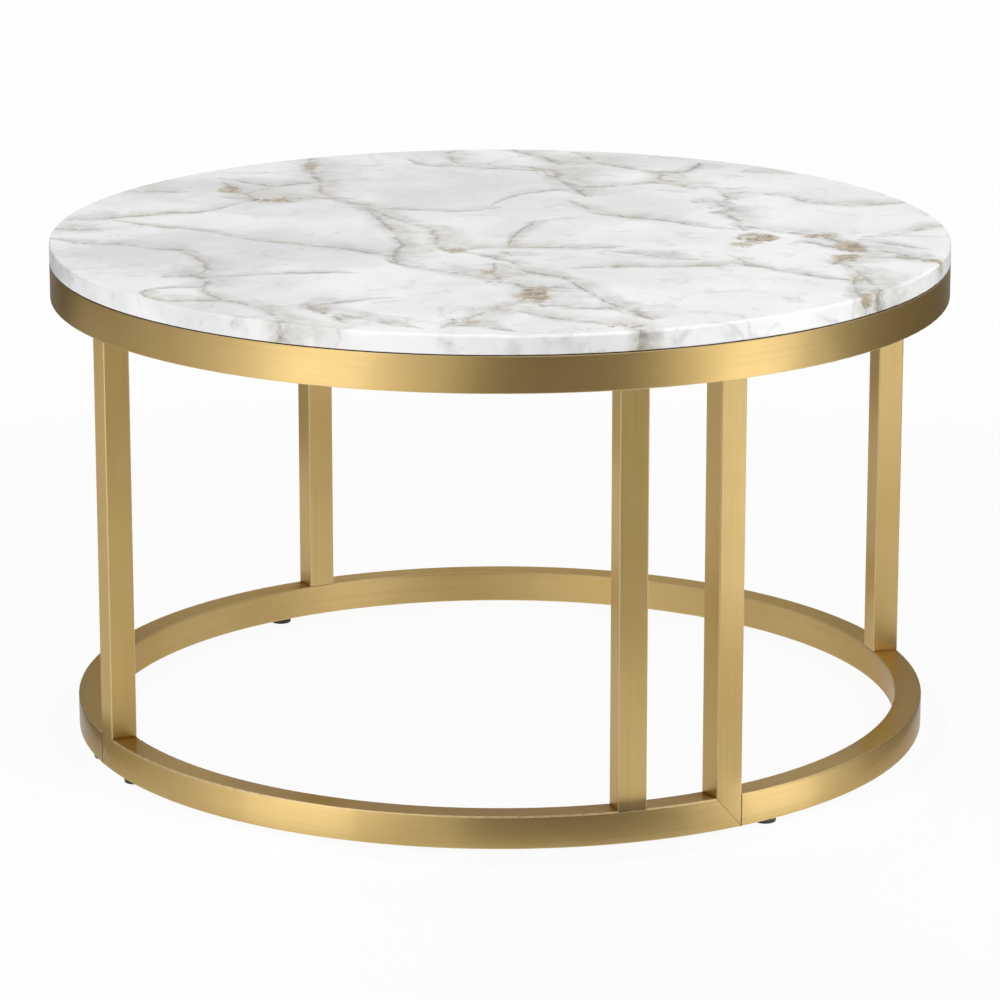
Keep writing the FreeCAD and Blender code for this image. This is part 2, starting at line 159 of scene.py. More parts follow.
# Brushing: noise scales across it, how little they change along it, and its depth in metres
BRUSH_FINE = 2600.0
BRUSH_BROAD = 420.0
BRUSH_ROUND = 0.004
BRUSH_UPRIGHT = 0.008
BRUSH_DEPTH = 0.00002
BRUSH_STRENGTH = 0.25
TONE_SCALE = 7.0
STREAK_SHARE = 0.35

# Rounded corners: how far the surface turns there, how strong the painted highlight on them is and how much
# rougher they are
ARRIS_TURN = (0.6, 0.97)
ARRIS_HIGHLIGHT_SHARE = 0.8
ARRIS_ROUGHER = 0.35

# Painted shade in inner corners, and dark seams: their reach or width in metres, and how dark they are
CREASE_SHADE_REACH = 0.005
CREASE_SHADE_SHARE = 0.85
SEAM_WIDTH = 0.0006
SEAM_SHARE = 0.7

# Joints of the front arc: the leg, and the side of it on which the arc lies
MITRES = [("leg_left", 1.0), ("leg_front_corner", -1.0)]


def arris_mask(tree, x, y):
    """The rounded corners, where the surface faces neither outwards, nor sideways, nor up or down."""
    normal = add(tree, "ShaderNodeNewGeometry").outputs["Normal"]
    outward = vector_math(tree, "NORMALIZE", joined(tree, x, y, 0.0))
    out = dot(tree, normal, outward)
    up = add(tree, "ShaderNodeSeparateXYZ", {0: normal}).outputs[2]
    out = math_node(tree, "POWER", out, 2.0)
    up = math_node(tree, "POWER", up, 2.0)
    side = math_node(tree, "SUBTRACT", math_node(tree, "SUBTRACT", 1.0, out), up)
    most = math_node(tree, "MAXIMUM", math_node(tree, "MAXIMUM", out, up), side)
    return remap(tree, most, *ARRIS_TURN, 1.0, 0.0, smooth=True)


def width_along(node, direction):
    """How wide a node is along a direction, from its own points."""
    places = [point.co.dot(direction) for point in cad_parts[node].data.vertices]
    return max(places) - min(places)


def seam_mask(tree, vector, z):
    """Thin lines where the front arc is mitred into its two legs and where the rear arc meets them."""
    rise = RING_HIGH.z - RING_LOW.z
    middle = (RING_HIGH.z + RING_LOW.z) / 2
    nearest = 1.0
    for leg, side in MITRES:
        low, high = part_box(leg)
        out = Vector((low.x + high.x, low.y + high.y, 0.0)).normalized()
        across = Vector((-out.y, out.x, 0.0)) * side
        width = width_along(leg, across)
        slant = math.hypot(rise, width)
        place = dot(tree, vector, across)
        outward = dot(tree, vector, out)
        climb = math_node(tree, "MULTIPLY", math_node(tree, "SUBTRACT", z, middle), width / slant)
        mitre = math_node(tree, "SUBTRACT", climb, math_node(tree, "MULTIPLY", place, rise / slant))
        from_mitre = math_node(tree, "ABSOLUTE", mitre)
        from_butt = math_node(tree, "ABSOLUTE", math_node(tree, "ADD", place, width / 2))
        away = math_node(tree, "MINIMUM", from_mitre, from_butt)
        aside = math_node(tree, "ABSOLUTE", place)
        beside = math_node(tree, "GREATER_THAN", aside, width / 2 + SEAM_WIDTH)
        above = math_node(tree, "GREATER_THAN", z, RING_HIGH.z)
        behind = math_node(tree, "LESS_THAN", outward, 0.0)
        for elsewhere in (beside, above, behind):
            away = math_node(tree, "ADD", away, elsewhere)
        nearest = math_node(tree, "MINIMUM", nearest, away)
    return remap(tree, nearest, SEAM_WIDTH / 3, SEAM_WIDTH, 1.0, 0.0)


def brushed_brass(name, around):
    """Lacquered satin brass, brushed round the table's axis or, on the legs, along their length, with a
    painted highlight on its rounded corners and painted shade in its inner corners.
    """
    material, tree, shader = new_material(name)
    vector, x, y, z = place_in(tree)
    if around:
        radius = length(tree, joined(tree, x, y, 0.0))
        turn = math_node(tree, "ARCTAN2", y, x)
        brush = joined(tree, math_node(tree, "MULTIPLY", turn, BRUSH_ROUND), radius, z)
        along = vector_math(tree, "CROSS_PRODUCT", (0.0, 0.0, 1.0), vector)
    else:
        brush = joined(tree, x, y, math_node(tree, "MULTIPLY", z, BRUSH_UPRIGHT))
        along = (0.0, 0.0, 1.0)
    fine = noise(tree, brush, BRUSH_FINE, detail=2.0, roughness=0.6).outputs["Fac"]
    broad = noise(tree, brush, BRUSH_BROAD, detail=3.0, roughness=0.6).outputs["Fac"]
    tone = noise(tree, vector, TONE_SCALE, detail=3.0, roughness=0.55).outputs["Fac"]
    arris = arris_mask(tree, x, y)
    crease_shade = add(tree, "ShaderNodeAmbientOcclusion", {"Distance": CREASE_SHADE_REACH}, samples=8).outputs["AO"]
    seam = math_node(tree, "MULTIPLY", seam_mask(tree, vector, z), SEAM_SHARE)
    colour = mixed(tree, remap(tree, tone, 0.35, 0.65, smooth=True), BRASS_DEEP, BRASS_PALE)
    colour = mixed(tree, remap(tree, broad, 0.45, 0.8, 0.0, STREAK_SHARE), colour, BRASS_STREAK)
    # Painted highlight: the rounded corners are paler, in place of the light they would catch
    colour = mixed(tree, math_node(tree, "MULTIPLY", arris, ARRIS_HIGHLIGHT_SHARE), colour, BRASS_ARRIS_HIGHLIGHT)
    # Painted shade: dark brown in inner corners, where ambient occlusion finds them
    colour = mixed(tree, remap(tree, crease_shade, 0.35, 0.9, CREASE_SHADE_SHARE, 0.0), colour, BRASS_SHADE_AND_SEAM)
    colour = mixed(tree, seam, colour, BRASS_SHADE_AND_SEAM)
    rough = remap(tree, fine, 0.25, 0.75, *BRASS_ROUGHNESS)
    normal = add(tree, "ShaderNodeNewGeometry").outputs["Normal"]
    set_inputs(tree, shader, {
        "Base Color": colour,
        "Metallic": 1.0,
        "Specular Tint": BRASS_EDGE_TINT,
        "Roughness": math_node(tree, "ADD", rough, math_node(tree, "MULTIPLY", arris, ARRIS_ROUGHER)),
        "Anisotropic": BRASS_ANISOTROPY,
        "Tangent": vector_math(tree, "CROSS_PRODUCT", normal, along),
        "Normal": bump(tree, fine, BRUSH_DEPTH, BRUSH_STRENGTH),
        **LACQUER,
    })
    return material


# Marble

# Veins in plan: x and y in metres, then half the width of the line in millimetres, which is
# nothing at the ends. Each runs one way along its longer side.
VEINS = [
    # The long vein from the left at the back to the middle
    [(-0.300, 0.275, 0), (-0.290, 0.245, 4), (-0.275, 0.215, 5), (-0.262, 0.185, 4), (-0.255, 0.165, 0)],
    [(-0.300, 0.190, 0), (-0.262, 0.176, 5), (-0.240, 0.171, 7), (-0.215, 0.176, 5), (-0.185, 0.183, 3),
     (-0.150, 0.180, 0)],
    [(-0.185, 0.185, 0), (-0.160, 0.160, 4), (-0.141, 0.121, 4), (-0.131, 0.094, 4), (-0.120, 0.053, 4),
     (-0.110, 0.013, 4), (-0.102, -0.041, 3), (-0.104, -0.108, 5), (-0.098, -0.150, 0)],
    [(-0.175, 0.190, 0), (-0.150, 0.150, 3), (-0.107, 0.070, 3), (-0.080, 0.033, 4), (-0.067, -0.014, 4),
     (-0.063, -0.054, 5), (-0.050, -0.095, 0)],
    [(-0.115, -0.120, 0), (-0.100, -0.145, 4), (-0.067, -0.175, 3), (-0.040, -0.192, 6),
     (-0.013, -0.212, 4), (0.010, -0.225, 0)],
    [(-0.062, -0.085, 0), (-0.040, -0.080, 4), (-0.013, -0.067, 3), (0.040, -0.067, 3),
     (0.088, -0.070, 3), (0.130, -0.060, 0)],
    [(-0.045, -0.090, 0), (-0.027, -0.100, 3), (-0.006, -0.121, 3), (0.012, -0.145, 2),
     (0.020, -0.160, 0)],
    # From the middle to the front
    [(-0.005, -0.140, 0), (-0.006, -0.165, 4), (-0.004, -0.200, 4), (0.014, -0.235, 5),
     (0.028, -0.265, 8), (0.032, -0.300, 8), (0.036, -0.326, 6), (0.045, -0.345, 0)],
    [(0.030, -0.325, 0), (0.060, -0.340, 4), (0.094, -0.346, 4), (0.118, -0.352, 4), (0.140, -0.370, 0)],
    [(0.000, -0.150, 0), (0.027, -0.185, 4), (0.060, -0.205, 4), (0.077, -0.215, 0)],
    [(0.058, -0.195, 0), (0.068, -0.229, 3), (0.077, -0.252, 3), (0.088, -0.282, 3), (0.100, -0.316, 3),
     (0.114, -0.343, 5), (0.130, -0.378, 4), (0.140, -0.400, 0)],
    [(0.035, -0.258, 0), (0.055, -0.255, 3), (0.085, -0.257, 0)],
    [(0.010, -0.355, 0), (0.040, -0.380, 4), (0.068, -0.397, 3), (0.100, -0.410, 3), (0.116, -0.423, 5),
     (0.135, -0.445, 6), (0.165, -0.460, 0)],
    # The vein from the rim at the back
    [(0.000, 0.470, 0), (0.012, 0.452, 4), (0.032, 0.428, 4), (0.058, 0.390, 7), (0.062, 0.372, 5),
     (0.055, 0.352, 0)],
    [(0.015, 0.370, 0), (0.035, 0.350, 8), (0.058, 0.319, 7), (0.061, 0.282, 6), (0.074, 0.248, 9),
     (0.082, 0.212, 5), (0.088, 0.185, 0)],
    [(-0.110, 0.400, 0), (-0.085, 0.368, 3), (-0.045, 0.362, 4), (0.000, 0.343, 4), (0.050, 0.335, 0)],
    [(-0.046, 0.458, 0), (-0.057, 0.423, 4), (-0.050, 0.390, 3), (-0.035, 0.355, 0)],
    [(0.055, 0.246, 0), (0.100, 0.243, 5), (0.135, 0.252, 3), (0.168, 0.265, 3), (0.200, 0.240, 0)],
    [(0.095, 0.225, 0), (0.047, 0.221, 3), (0.020, 0.201, 3), (0.000, 0.165, 2), (-0.015, 0.125, 0)],
    [(0.005, 0.135, 0), (-0.013, 0.125, 2), (-0.040, 0.114, 2), (-0.094, 0.124, 2), (-0.130, 0.130, 0)],
    # The vein down the right side and its gold knots
    [(0.080, 0.440, 0), (0.090, 0.420, 5), (0.114, 0.369, 3), (0.135, 0.346, 3), (0.165, 0.325, 4),
     (0.175, 0.290, 5), (0.195, 0.248, 4), (0.205, 0.230, 0)],
    [(0.185, 0.250, 0), (0.215, 0.245, 3), (0.232, 0.225, 3), (0.239, 0.190, 3), (0.236, 0.165, 0)],
    [(0.195, 0.158, 0), (0.215, 0.160, 5), (0.235, 0.158, 4), (0.250, 0.150, 0)],
    [(0.222, 0.165, 0), (0.232, 0.140, 5), (0.238, 0.125, 5), (0.229, 0.107, 5), (0.235, 0.087, 4),
     (0.245, 0.060, 3), (0.243, 0.035, 3), (0.250, 0.010, 0)],
    [(0.230, 0.045, 0), (0.269, 0.020, 3), (0.300, 0.003, 4), (0.322, -0.014, 5), (0.345, -0.045, 6),
     (0.362, -0.072, 0)],
    [(0.290, -0.050, 0), (0.314, -0.047, 4), (0.335, -0.070, 5), (0.350, -0.078, 0)],
    [(0.350, -0.030, 0), (0.362, -0.070, 8), (0.353, -0.095, 7), (0.350, -0.115, 8), (0.336, -0.137, 7),
     (0.330, -0.150, 0)],
    [(0.335, -0.140, 0), (0.346, -0.161, 3), (0.353, -0.202, 6), (0.362, -0.242, 4), (0.364, -0.282, 4),
     (0.360, -0.323, 5), (0.352, -0.380, 0)],
    [(0.345, -0.200, 0), (0.342, -0.242, 3), (0.346, -0.276, 5), (0.351, -0.310, 4), (0.346, -0.370, 0)],
    [(0.362, -0.030, 0), (0.395, -0.052, 3), (0.430, -0.078, 0)],
    [(0.358, -0.078, 0), (0.385, -0.090, 3), (0.412, -0.120, 5), (0.435, -0.140, 0)],
    [(0.345, -0.118, 0), (0.380, -0.112, 2), (0.420, -0.128, 5), (0.440, -0.135, 0)],
    [(0.465, 0.055, 0), (0.448, 0.038, 4), (0.430, 0.020, 4), (0.403, -0.007, 3), (0.365, -0.020, 0)],
    # The middle of the right half
    [(0.070, 0.170, 0), (0.085, 0.135, 3), (0.101, 0.107, 4), (0.115, 0.090, 0)],
    [(0.090, 0.110, 0), (0.128, 0.087, 4), (0.168, 0.070, 4), (0.202, 0.040, 3), (0.245, 0.015, 0)],
    [(0.105, 0.090, 0), (0.045, 0.067, 2), (0.027, 0.033, 2), (0.014, -0.014, 2), (0.004, -0.075, 0)],
    [(0.110, -0.085, 0), (0.141, -0.100, 3), (0.168, -0.115, 4), (0.205, -0.130, 0)],
    [(0.060, -0.170, 0), (0.108, -0.158, 3), (0.160, -0.161, 3), (0.202, -0.155, 3), (0.242, -0.155, 4),
     (0.270, -0.175, 3), (0.309, -0.202, 3), (0.345, -0.225, 0)],
    [(0.225, -0.100, 0), (0.237, -0.120, 2), (0.240, -0.155, 0)],
    [(0.215, 0.380, 0), (0.212, 0.365, 5), (0.205, 0.335, 3), (0.190, 0.318, 0)],
    [(0.150, 0.322, 0), (0.190, 0.322, 3), (0.225, 0.330, 0)],
    [(0.260, 0.325, 0), (0.285, 0.320, 4), (0.320, 0.312, 0)],
    [(0.230, 0.205, 0), (0.289, 0.201, 3), (0.336, 0.156, 4), (0.390, 0.147, 4), (0.440, 0.170, 0)],
    # The back of the left half
    [(-0.208, 0.415, 0), (-0.211, 0.380, 5), (-0.206, 0.330, 4), (-0.206, 0.300, 7), (-0.198, 0.285, 6),
     (-0.192, 0.250, 4), (-0.188, 0.215, 3), (-0.170, 0.180, 0)],
    [(-0.310, 0.300, 0), (-0.268, 0.262, 3), (-0.241, 0.246, 4), (-0.214, 0.258, 4), (-0.180, 0.262, 0)],
    [(-0.235, 0.250, 0), (-0.260, 0.222, 3), (-0.275, 0.195, 0)],
    [(-0.420, 0.235, 0), (-0.392, 0.221, 5), (-0.350, 0.217, 3), (-0.320, 0.215, 0)],
    [(-0.455, 0.070, 0), (-0.420, 0.076, 4), (-0.388, 0.081, 3), (-0.349, 0.100, 3), (-0.308, 0.114, 3),
     (-0.288, 0.134, 3), (-0.262, 0.165, 0)],
    [(-0.465, 0.022, 0), (-0.440, 0.018, 5), (-0.400, 0.010, 0)],
    [(-0.415, 0.080, 0), (-0.362, 0.040, 2), (-0.302, 0.012, 2), (-0.248, -0.027, 2),
     (-0.200, -0.054, 2), (-0.161, -0.071, 4), (-0.120, -0.101, 4), (-0.095, -0.120, 0)],
    # The front of the left half
    [(-0.465, -0.020, 0), (-0.416, -0.047, 3), (-0.376, -0.054, 3), (-0.342, -0.074, 3),
     (-0.318, -0.080, 4), (-0.300, -0.095, 0)],
    [(-0.325, -0.075, 0), (-0.308, -0.110, 3), (-0.292, -0.148, 4), (-0.288, -0.175, 3),
     (-0.300, -0.205, 0)],
    [(-0.335, -0.212, 0), (-0.303, -0.203, 6), (-0.285, -0.210, 3), (-0.228, -0.192, 2),
     (-0.165, -0.188, 2), (-0.130, -0.195, 0)],
    [(-0.305, -0.195, 0), (-0.287, -0.222, 5), (-0.285, -0.262, 3), (-0.275, -0.296, 3),
     (-0.250, -0.322, 4), (-0.228, -0.350, 4), (-0.208, -0.390, 5), (-0.200, -0.425, 6),
     (-0.190, -0.460, 0)],
    [(-0.340, -0.295, 0), (-0.315, -0.307, 3), (-0.280, -0.309, 3), (-0.235, -0.330, 0)],
    [(-0.338, -0.298, 0), (-0.345, -0.276, 2), (-0.336, -0.255, 0)],
    [(-0.340, -0.262, 0), (-0.302, -0.249, 2), (-0.270, -0.255, 0)],
    [(-0.100, -0.300, 0), (-0.147, -0.318, 3), (-0.174, -0.329, 5), (-0.190, -0.335, 0)],
    [(-0.172, -0.320, 0), (-0.178, -0.350, 6), (-0.161, -0.372, 4), (-0.150, -0.395, 2),
     (-0.142, -0.412, 0)],
    [(-0.180, -0.345, 0), (-0.134, -0.383, 3), (-0.100, -0.410, 3), (-0.070, -0.430, 0)],
    [(0.000, -0.330, 0), (-0.006, -0.344, 6), (-0.020, -0.370, 4), (-0.040, -0.397, 5),
     (-0.050, -0.418, 3), (-0.055, -0.432, 0)],
    [(-0.015, -0.350, 0), (0.010, -0.333, 3), (0.035, -0.318, 0)],
    [(-0.045, -0.415, 0), (-0.012, -0.420, 4), (0.005, -0.432, 3), (0.018, -0.442, 0)],
    [(0.002, -0.085, 0), (0.008, -0.104, 5), (0.012, -0.115, 0)],
]

# Gold-brown knots in plan: x, y, reach along x, reach along y, strength
KNOTS = [
    (0.262, -0.022, 0.030, 0.034, 1.0),
    (0.244, -0.055, 0.018, 0.020, 0.7),
    (0.322, -0.012, 0.024, 0.020, 0.8),
    (0.352, -0.064, 0.022, 0.034, 1.0),
    (0.346, -0.118, 0.020, 0.026, 0.9),
    (0.350, -0.205, 0.014, 0.026, 0.6),
    (0.356, -0.300, 0.016, 0.060, 0.5),
    (0.428, -0.132, 0.018, 0.018, 0.6),
    (0.032, -0.285, 0.022, 0.046, 1.0),
    (0.004, -0.235, 0.020, 0.030, 0.5),
    (-0.046, -0.080, 0.024, 0.026, 0.7),
    (-0.010, -0.190, 0.030, 0.030, 0.5),
    (0.120, -0.352, 0.026, 0.024, 0.6),
    (0.112, -0.420, 0.024, 0.022, 0.7),
    (-0.238, 0.172, 0.050, 0.018, 0.8),
    (-0.284, 0.228, 0.020, 0.040, 0.7),
    (-0.208, 0.360, 0.014, 0.060, 0.7),
    (0.048, 0.330, 0.026, 0.050, 0.5),
    (0.226, 0.130, 0.020, 0.050, 0.5),
    (-0.036, -0.395, 0.024, 0.024, 0.6),
    (-0.174, -0.350, 0.018, 0.034, 0.4),
    (-0.150, 0.140, 0.020, 0.040, 0.4),
]

MARBLE_WHITE = (0.87, 0.87, 0.872, 1.0)
MARBLE_CLOUD = (0.62, 0.625, 0.635, 1.0)
MARBLE_SMOKE = (0.48, 0.478, 0.462, 1.0)
MARBLE_OLIVE = (0.48, 0.452, 0.38, 1.0)
MARBLE_LINE = (0.185, 0.175, 0.152, 1.0)
MARBLE_GOLD = (0.42, 0.335, 0.205, 1.0)
MARBLE_BROWN = (0.19, 0.132, 0.068, 1.0)

# Veins, in half widths of their line: the reach of the line and of the smoke beside it, how many
# times less they reach on the crisp side, and the least half width in metres
LINE_REACH = 1.8
SMOKE_REACH = 12.0
CRISP_SIDE = 3.0
LEAST_WIDTH = 1e-6

# Knots, in their own reaches: from where to where they fade
KNOT_FADE = (0.2, 1.2)

# The left and the back are greyer: how much the back counts, from where to where, and the least there is
GREY_BACK = 0.6
GREY_RANGE = (-0.35, 0.45)
LEAST_GREY = 0.40

# Pushes, each a noise scale, a reach in metres and a detail: first the veins' sway, their kinks and
# their frayed edges
SWAY = (16.0, 0.018, 2.0)
KINK = (60.0, 0.010, 3.0)
FRAY = (220.0, 0.004, 3.0)
DRIFT_PUSH = (5.0, 0.2, 2.0)
WISP_PUSH = (7.0, 0.10, 3.0)

# Noises, each a scale, a detail and a roughness
DRIFT = (6.0, 4.0, 0.55)
MIST = (24.0, 5.0, 0.65)
MOTTLE = (48.0, 4.0, 0.7)
GRAIN = (130.0, 4.0, 0.7)
STAIN = (9.0, 2.0, 0.5)
WISP_SCALE = 10.0
WISP_WIDTH = 0.028

# Shares of the colours, at most
GREY_SIDE_SHARE = 0.22
MIST_SHARE = 0.35
WISP_SHARE = 0.45
SMOKE_SHARE = 0.95
LINE_SHARE = 0.75
LINE_GOLD_SHARE = 0.35
GOLD_SHARE = 0.85
BROWN_SHARE = 0.85
KNOT_GOLD = 0.34
KNOT_BROWN = 0.24


def vein_group():
    """Keeps the smaller of what it is given and of how far one vein is, in half widths of its line.

    On the vein's crisp side that distance counts for more.
    """
    tree = bpy.data.node_groups.new("vein", "ShaderNodeTree")
    for name in ("Offset", "Width", "Nearest"):
        tree.interface.new_socket(name, in_out="INPUT", socket_type="NodeSocketFloat")
    tree.interface.new_socket("Nearest", in_out="OUTPUT", socket_type="NodeSocketFloat")
    given = tree.nodes.new("NodeGroupInput").outputs
    width = math_node(tree, "MAXIMUM", given["Width"], LEAST_WIDTH)
    widths = math_node(tree, "DIVIDE", given["Offset"], width)
    away = math_node(tree, "MAXIMUM", widths, math_node(tree, "MULTIPLY", widths, -CRISP_SIDE))
    nearest = math_node(tree, "MINIMUM", given["Nearest"], away)
    tree.links.new(nearest, tree.nodes.new("NodeGroupOutput").inputs["Nearest"])
    return tree


def nearest_vein(tree, x, y):
    """How far the nearest vein is, in half widths of its line."""
    group = vein_group()
    nearest = SMOKE_REACH
    for points in VEINS:
        first, last = points[0], points[-1]
        along = 0 if abs(last[0] - first[0]) >= abs(last[1] - first[1]) else 1
        points = sorted(points, key=lambda point: point[along])
        low, high = points[0][along], points[-1][along]
        share = remap(tree, (x, y)[along], low, high)
        path = [((point[along] - low) / (high - low), point[1 - along]) for point in points]
        widths = [((point[along] - low) / (high - low), point[2] * MM) for point in points]
        offset = math_node(tree, "SUBTRACT", (x, y)[1 - along], curve(tree, share, path))
        node = tree.nodes.new("ShaderNodeGroup")
        node.node_tree = group
        set_inputs(tree, node, {"Offset": offset, "Width": curve(tree, share, widths), "Nearest": nearest})
        nearest = node.outputs["Nearest"]
    return nearest


def knot_mask(tree, vector):
    """The gold-brown knots, each fading out from its middle."""
    total = 0.0
    for x, y, reach_x, reach_y, strength in KNOTS:
        offset = vector_math(tree, "SUBTRACT", vector, (x, y, 0.0))
        inside = vector_math(tree, "MULTIPLY", offset, (1 / reach_x, 1 / reach_y, 0.0))
        knot = remap(tree, length(tree, inside), *KNOT_FADE, strength, 0.0, smooth=True)
        total = math_node(tree, "MAXIMUM", total, knot)
    return total


def warped(tree, vector, scale, reach, detail):
    """A point pushed about by noise."""
    push = vector_math(tree, "SUBTRACT", noise(tree, vector, scale, detail).outputs["Color"], (0.5, 0.5, 0.5))
    return vector_math(tree, "ADD", vector, scaled(tree, push, reach))


def ridges(tree, vector, scale, width):
    """Thin wandering lines where a noise crosses its middle value."""
    away = math_node(tree, "SUBTRACT", noise(tree, vector, scale, 3.0, 0.5).outputs["Fac"], 0.5)
    return remap(tree, math_node(tree, "ABSOLUTE", away), 0.0, width, 1.0, 0.0, smooth=True)


def product(tree, *factors):
    """Several values multiplied."""
    total = factors[0]
    for factor in factors[1:]:
        total = math_node(tree, "MULTIPLY", total, factor)
    return total


def polished_marble():
    """White marble with grey veins, smoke beside them, soft clouds and gold-brown knots."""
    material, tree, shader = new_material("polished_marble")
    vector, x, y, _ = place_in(tree)
    swayed = warped(tree, vector, *SWAY)
    path = warped(tree, warped(tree, swayed, *KINK), *FRAY)
    split = add(tree, "ShaderNodeSeparateXYZ", {0: path}).outputs
    nearest = nearest_vein(tree, split[0], split[1])
    line = remap(tree, nearest, 0.0, LINE_REACH, 1.0, 0.0, smooth=True)
    smoke = remap(tree, nearest, 0.0, SMOKE_REACH, 1.0, 0.0, smooth=True)
    knots = knot_mask(tree, path)

    grey_side = math_node(tree, "SUBTRACT", product(tree, y, GREY_BACK), x)
    grey_side = remap(tree, grey_side, *GREY_RANGE)
    drift = noise(tree, warped(tree, vector, *DRIFT_PUSH), *DRIFT).outputs["Fac"]
    mist = noise(tree, swayed, *MIST).outputs["Fac"]
    mottle = noise(tree, path, *MOTTLE).outputs["Fac"]
    grain = noise(tree, path, *GRAIN).outputs["Fac"]
    wisps = ridges(tree, warped(tree, vector, *WISP_PUSH), WISP_SCALE, WISP_WIDTH)
    stain = remap(tree, noise(tree, vector, *STAIN).outputs["Fac"], 0.42, 0.62)

    cloudy = remap(tree, grey_side, 0.0, 1.0, LEAST_GREY, 1.0)
    clouds = product(tree, remap(tree, drift, 0.33, 0.68, smooth=True), cloudy)
    clouds = math_node(tree, "ADD", clouds, product(tree, grey_side, GREY_SIDE_SHARE))
    colour = mixed(tree, clouds, MARBLE_WHITE, MARBLE_CLOUD)
    colour = mixed(tree, remap(tree, mist, 0.42, 0.75, 0.0, MIST_SHARE), colour, MARBLE_CLOUD)
    wisp_share = product(tree, wisps, remap(tree, mist, 0.40, 0.62), WISP_SHARE)
    colour = mixed(tree, wisp_share, colour, MARBLE_SMOKE)
    smoke_share = product(tree, smoke, remap(tree, mottle, 0.32, 0.60, 0.20, 1.0), SMOKE_SHARE)
    colour = mixed(tree, smoke_share, colour, mixed(tree, stain, MARBLE_SMOKE, MARBLE_OLIVE))
    line_share = product(tree, line, remap(tree, mottle, 0.36, 0.60), LINE_SHARE)
    line_gold = remap(tree, stain, 0.3, 1.0, 0.0, LINE_GOLD_SHARE)
    colour = mixed(tree, line_share, colour, mixed(tree, line_gold, MARBLE_LINE, MARBLE_GOLD))
    gold = math_node(tree, "ADD", mottle, product(tree, knots, KNOT_GOLD))
    colour = mixed(tree, remap(tree, gold, 0.62, 0.80, 0.0, GOLD_SHARE, smooth=True), colour, MARBLE_GOLD)
    brown = math_node(tree, "ADD", grain, product(tree, knots, KNOT_BROWN))
    brown = remap(tree, brown, 0.66, 0.78, smooth=True)
    brown_share = product(tree, brown, remap(tree, knots, 0.1, 0.5), BROWN_SHARE)
    colour = mixed(tree, brown_share, colour, MARBLE_BROWN)
    set_inputs(tree, shader, {
        "Base Color": colour,
        "Roughness": remap(tree, mist, 0.3, 0.7, 0.20, 0.28),
        "IOR": 1.5,
        "Normal": bump(tree, mist, distance=0.0001, strength=0.03),
    })
    return material


# Hidden pieces


def plywood():
    """Birch plywood: long soft grain on the face and layers on the edge."""
    material, tree, shader = new_material("plywood")
    vector, x, y, z = place_in(tree)
    grain_place = joined(tree, math_node(tree, "MULTIPLY", x, 0.06), y, z)
    grain_place = warped(tree, grain_place, scale=6.0, reach=0.02, detail=2.0)
    grain = noise(tree, grain_place, scale=140.0, detail=5.0, roughness=0.6).outputs["Fac"]
    layers = add(tree, "ShaderNodeTexWave", {"Vector": vector, "Scale": 130.0}, bands_direction="Z")
    pale = (0.62, 0.45, 0.27, 1.0)
    deep = (0.43, 0.28, 0.15, 1.0)
    colour = mixed(tree, remap(tree, grain, 0.35, 0.7), pale, deep)
    colour = mixed(tree, remap(tree, layers.outputs["Fac"], 0.4, 0.6, 0.0, 0.3), colour, deep)
    normal = bump(tree, grain, distance=0.0002, strength=0.4)
    set_inputs(tree, shader, {"Base Color": colour, "Roughness": 0.6, "Normal": normal})
    return material


def black_paint():
    """Powder-coated steel with a fine orange peel."""
    material, tree, shader = new_material("black_paint")
    vector = place_in(tree)[0]
    peel = noise(tree, vector, scale=900.0, detail=2.0).outputs["Fac"]
    dust = noise(tree, vector, scale=30.0, detail=4.0, roughness=0.6).outputs["Fac"]
    paint = (0.018, 0.018, 0.019, 1.0)
    dusty = (0.035, 0.034, 0.033, 1.0)
    colour = mixed(tree, remap(tree, dust, 0.4, 0.7), paint, dusty)
    set_inputs(tree, shader, {
        "Base Color": colour,
        "Roughness": remap(tree, dust, 0.3, 0.7, 0.42, 0.56),
        "Normal": bump(tree, peel, distance=0.0001, strength=0.3),
    })
    return material


def zinc_plate():
    """Zinc-plated steel, faintly mottled."""
    material, tree, shader = new_material("zinc_plate")
    vector = place_in(tree)[0]
    mottle = noise(tree, vector, scale=260.0, detail=3.0, roughness=0.6).outputs["Fac"]
    fine = noise(tree, vector, scale=2200.0, detail=2.0).outputs["Fac"]
    dull = (0.56, 0.56, 0.55, 1.0)
    bright = (0.68, 0.68, 0.66, 1.0)
    colour = mixed(tree, remap(tree, mottle, 0.35, 0.65), dull, bright)
    set_inputs(tree, shader, {
        "Base Color": colour,
        "Metallic": 1.0,
        "Roughness": remap(tree, mottle, 0.3, 0.7, 0.28, 0.42),
        "Normal": bump(tree, fine, distance=0.00003, strength=0.3),
    })
    return material


def black_nylon():
    """Moulded black nylon with a fine texture."""
    material, tree, shader = new_material("black_nylon")
    vector = place_in(tree)[0]
    skin = noise(tree, vector, scale=1800.0, detail=2.0).outputs["Fac"]
    scuff = noise(tree, vector, scale=320.0, detail=4.0, roughness=0.65).outputs["Fac"]
    nylon = (0.012, 0.012, 0.013, 1.0)
    scuffed = (0.05, 0.05, 0.05, 1.0)
    colour = mixed(tree, remap(tree, scuff, 0.5, 0.75), nylon, scuffed)
    set_inputs(tree, shader, {
        "Base Color": colour,
        "Roughness": remap(tree, scuff, 0.3, 0.7, 0.35, 0.5),
        "Normal": bump(tree, skin, distance=0.00005, strength=0.35),
    })
    return material


# Materials on the frame's nodes


def dress(names, material):
    for name in names:
        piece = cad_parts[name]
        piece.data.materials.clear()
        piece.data.materials.append(material)


def named(prefix):
    return sorted(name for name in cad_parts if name.startswith(prefix))


